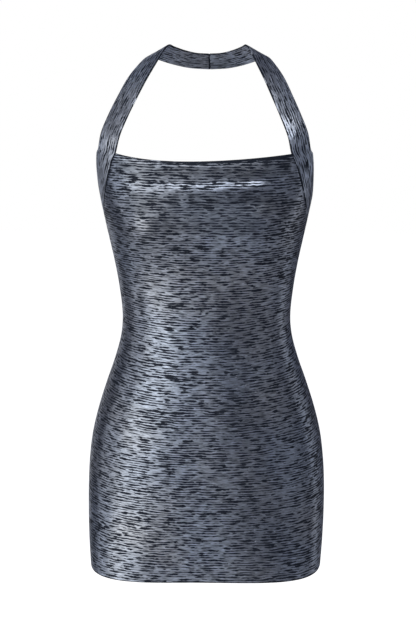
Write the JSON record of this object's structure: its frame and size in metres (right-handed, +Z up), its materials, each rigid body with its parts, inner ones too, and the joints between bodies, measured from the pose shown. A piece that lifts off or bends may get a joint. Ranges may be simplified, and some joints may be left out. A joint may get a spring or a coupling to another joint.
{
  "type": "halter bodycon mini dress",
  "caption": "Close-fitting sleeveless mini dress with a scooped neckline, low back and halter band round the neck, filled out and hollow.",
  "frame": {"origin": "the middle of the halter band's neck-side face at the nape, where the wearer's neck holds the dress", "axes": "+Z up along the dress, -Y out of its front, +X towards the wearer's left"},
  "size_m": [0.3344, 0.2428, 0.7234],
  "materials": {
    "front_foil": "metallic foil on stretch knit",
    "back_foil": "metallic foil on stretch knit",
    "band_foil": "metallic foil on stretch knit"
  },
  "bodies": {
    "root": {"front_panel": "front_foil", "back_panel": "back_foil", "halter_band_left": "band_foil", "halter_band_right": "band_foil"}
  },
  "joints": []
}
